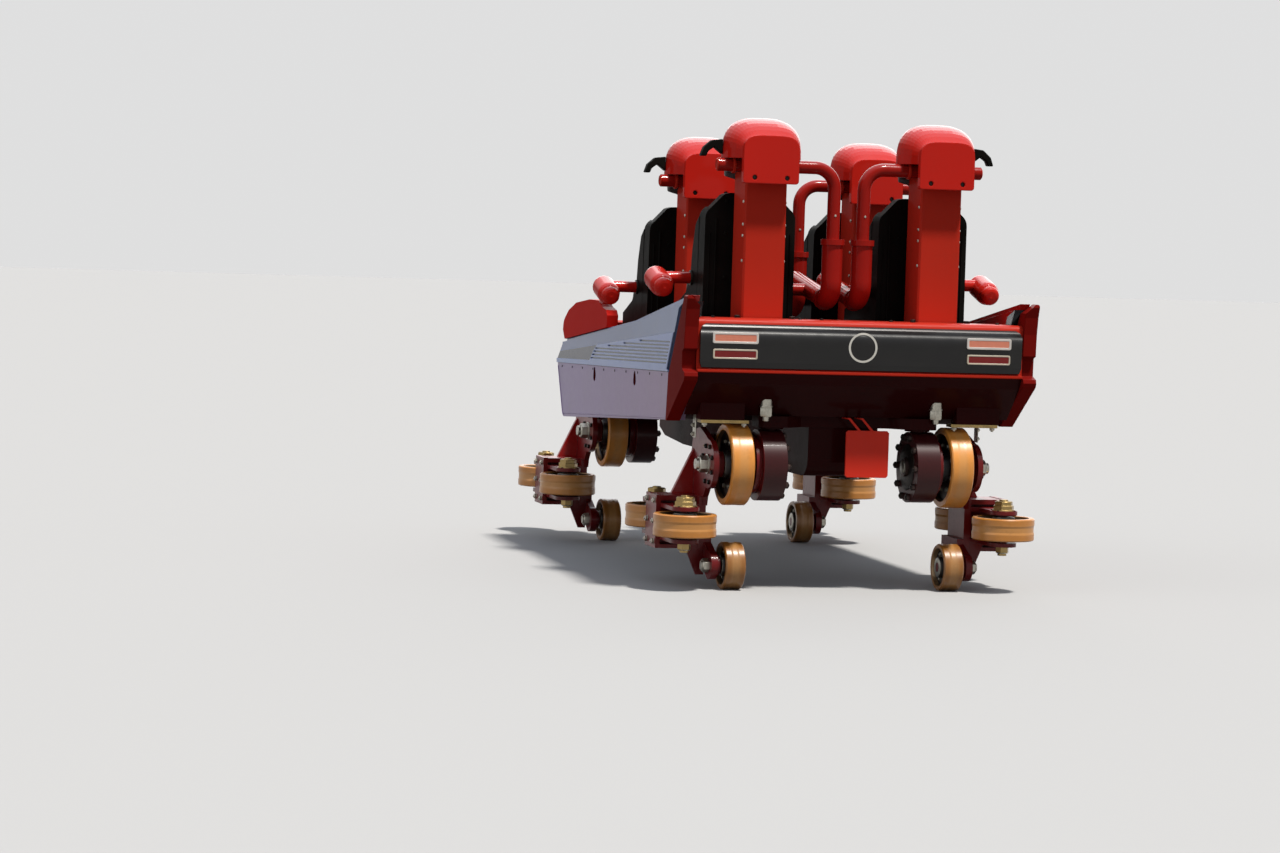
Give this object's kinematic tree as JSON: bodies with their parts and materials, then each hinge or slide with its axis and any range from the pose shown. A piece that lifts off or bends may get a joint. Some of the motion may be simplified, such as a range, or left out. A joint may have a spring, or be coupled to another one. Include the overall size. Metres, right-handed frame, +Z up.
{
  "type": "roller coaster car",
  "caption": "Rear car of a roller coaster train: two rows of red and black seats on a blue and purple body, on wheel bogies that grip a tube rail.",
  "frame": {"origin": "middle of the car in plan, on the floor that the up-stop wheels touch", "axes": "+Y is forward, +X is the car's right, +Z is up"},
  "size_m": [1.754, 3.2, 2.083],
  "materials": {
    "red": "gloss",
    "dark_red": "satin",
    "lamp_red": "gloss",
    "black": "satin",
    "pad": "soft matt",
    "blue": "gloss",
    "light_blue": "gloss",
    "purple": "gloss",
    "tread": "cast polyurethane",
    "steel": "zinc"
  },
  "bodies": {
    "car": {"chassis": "dark_red", "floor_pan": "dark_red", "tail_shell": "red", "tail_panel": "black", "tail_lower": "dark_red", "lamps": "lamp_red", "tail_fins": "red", "pod_upper": "blue", "grilles": "light_blue", "pod_lower": "purple", "fenders": "red", "bulkhead": "red", "posts": "red", "shells": "black", "cushions": "pad", "headrests": "red", "head_pads": "pad", "roll_tubes": "red", "armrests": "red", "flag_plate": "red", "coupler": "steel"},
    "bogie_rl": {"bogie_rl": "dark_red"},
    "bogie_rr": {"bogie_rr": "dark_red"},
    "bogie_fl": {"bogie_fl": "dark_red"},
    "bogie_fr": {"bogie_fr": "dark_red"},
    "road_rl": {"road_rl": "tread"},
    "road_rr": {"road_rr": "tread"},
    "road_fl": {"road_fl": "tread"},
    "road_fr": {"road_fr": "tread"},
    "guide_rl_a": {"guide_rl_a": "tread"},
    "guide_rl_b": {"guide_rl_b": "tread"},
    "guide_rr_a": {"guide_rr_a": "tread"},
    "guide_rr_b": {"guide_rr_b": "tread"},
    "guide_fl_a": {"guide_fl_a": "tread"},
    "guide_fl_b": {"guide_fl_b": "tread"},
    "guide_fr_a": {"guide_fr_a": "tread"},
    "guide_fr_b": {"guide_fr_b": "tread"},
    "up_rl": {"up_rl": "tread"},
    "up_rr": {"up_rr": "tread"},
    "up_fl": {"up_fl": "tread"},
    "up_fr": {"up_fr": "tread"},
    "lap_rl": {"lap_rl": "black"},
    "lap_rr": {"lap_rr": "black"},
    "lap_fl": {"lap_fl": "black"},
    "lap_fr": {"lap_fr": "black"}
  },
  "joints": [
    {"name": "bogie_steer_rl", "type": "hinge", "parent": "car", "child": "bogie_rl", "pos_m": [-0.34, -1.345, 0.643], "axis": [0, 0, 1], "range_deg": [-6, 6]},
    {"name": "bogie_steer_rr", "type": "hinge", "parent": "car", "child": "bogie_rr", "pos_m": [0.34, -1.345, 0.643], "axis": [0, 0, 1], "range_deg": [-6, 6]},
    {"name": "bogie_steer_fl", "type": "hinge", "parent": "car", "child": "bogie_fl", "pos_m": [-0.34, 1.005, 0.643], "axis": [0, 0, 1], "range_deg": [-6, 6]},
    {"name": "bogie_steer_fr", "type": "hinge", "parent": "car", "child": "bogie_fr", "pos_m": [0.34, 1.005, 0.643], "axis": [0, 0, 1], "range_deg": [-6, 6]},
    {"name": "road_spin_rl", "type": "hinge", "parent": "bogie_rl", "child": "road_rl", "pos_m": [-0.505, -1.345, 0.553], "axis": [1, 0, 0], "continuous": true},
    {"name": "road_spin_rr", "type": "hinge", "parent": "bogie_rr", "child": "road_rr", "pos_m": [0.505, -1.345, 0.553], "axis": [1, 0, 0], "continuous": true},
    {"name": "road_spin_fl", "type": "hinge", "parent": "bogie_fl", "child": "road_fl", "pos_m": [-0.505, 1.005, 0.553], "axis": [1, 0, 0], "continuous": true},
    {"name": "road_spin_fr", "type": "hinge", "parent": "bogie_fr", "child": "road_fr", "pos_m": [0.505, 1.005, 0.553], "axis": [1, 0, 0], "continuous": true},
    {"name": "guide_spin_rl_a", "type": "hinge", "parent": "bogie_rl", "child": "guide_rl_a", "pos_m": [-0.737, -1.417, 0.289], "axis": [0, 0, 1], "continuous": true},
    {"name": "guide_spin_rl_b", "type": "hinge", "parent": "bogie_rl", "child": "guide_rl_b", "pos_m": [-0.737, -0.897, 0.289], "axis": [0, 0, 1], "continuous": true},
    {"name": "guide_spin_rr_a", "type": "hinge", "parent": "bogie_rr", "child": "guide_rr_a", "pos_m": [0.737, -1.417, 0.289], "axis": [0, 0, 1], "continuous": true},
    {"name": "guide_spin_rr_b", "type": "hinge", "parent": "bogie_rr", "child": "guide_rr_b", "pos_m": [0.737, -0.897, 0.289], "axis": [0, 0, 1], "continuous": true},
    {"name": "guide_spin_fl_a", "type": "hinge", "parent": "bogie_fl", "child": "guide_fl_a", "pos_m": [-0.737, 0.933, 0.289], "axis": [0, 0, 1], "continuous": true},
    {"name": "guide_spin_fl_b", "type": "hinge", "parent": "bogie_fl", "child": "guide_fl_b", "pos_m": [-0.737, 1.453, 0.289], "axis": [0, 0, 1], "continuous": true},
    {"name": "guide_spin_fr_a", "type": "hinge", "parent": "bogie_fr", "child": "guide_fr_a", "pos_m": [0.737, 0.933, 0.289], "axis": [0, 0, 1], "continuous": true},
    {"name": "guide_spin_fr_b", "type": "hinge", "parent": "bogie_fr", "child": "guide_fr_b", "pos_m": [0.737, 1.453, 0.289], "axis": [0, 0, 1], "continuous": true},
    {"name": "up_spin_rl", "type": "hinge", "parent": "bogie_rl", "child": "up_rl", "pos_m": [-0.505, -1.345, 0.105], "axis": [1, 0, 0], "continuous": true},
    {"name": "up_spin_rr", "type": "hinge", "parent": "bogie_rr", "child": "up_rr", "pos_m": [0.505, -1.345, 0.105], "axis": [1, 0, 0], "continuous": true},
    {"name": "up_spin_fl", "type": "hinge", "parent": "bogie_fl", "child": "up_fl", "pos_m": [-0.505, 1.005, 0.105], "axis": [1, 0, 0], "continuous": true},
    {"name": "up_spin_fr", "type": "hinge", "parent": "bogie_fr", "child": "up_fr", "pos_m": [0.505, 1.005, 0.105], "axis": [1, 0, 0], "continuous": true},
    {"name": "lap_open_rl", "type": "hinge", "parent": "car", "child": "lap_rl", "pos_m": [-0.405, -0.595, 0.918], "axis": [-1, 0, 0], "range_deg": [0, 25]},
    {"name": "lap_open_rr", "type": "hinge", "parent": "car", "child": "lap_rr", "pos_m": [0.405, -0.595, 0.918], "axis": [-1, 0, 0], "range_deg": [0, 25]},
    {"name": "lap_open_fl", "type": "hinge", "parent": "car", "child": "lap_fl", "pos_m": [-0.405, 0.425, 0.852], "axis": [-1, 0, 0], "range_deg": [0, 25]},
    {"name": "lap_open_fr", "type": "hinge", "parent": "car", "child": "lap_fr", "pos_m": [0.405, 0.425, 0.852], "axis": [-1, 0, 0], "range_deg": [0, 25]}
  ]
}
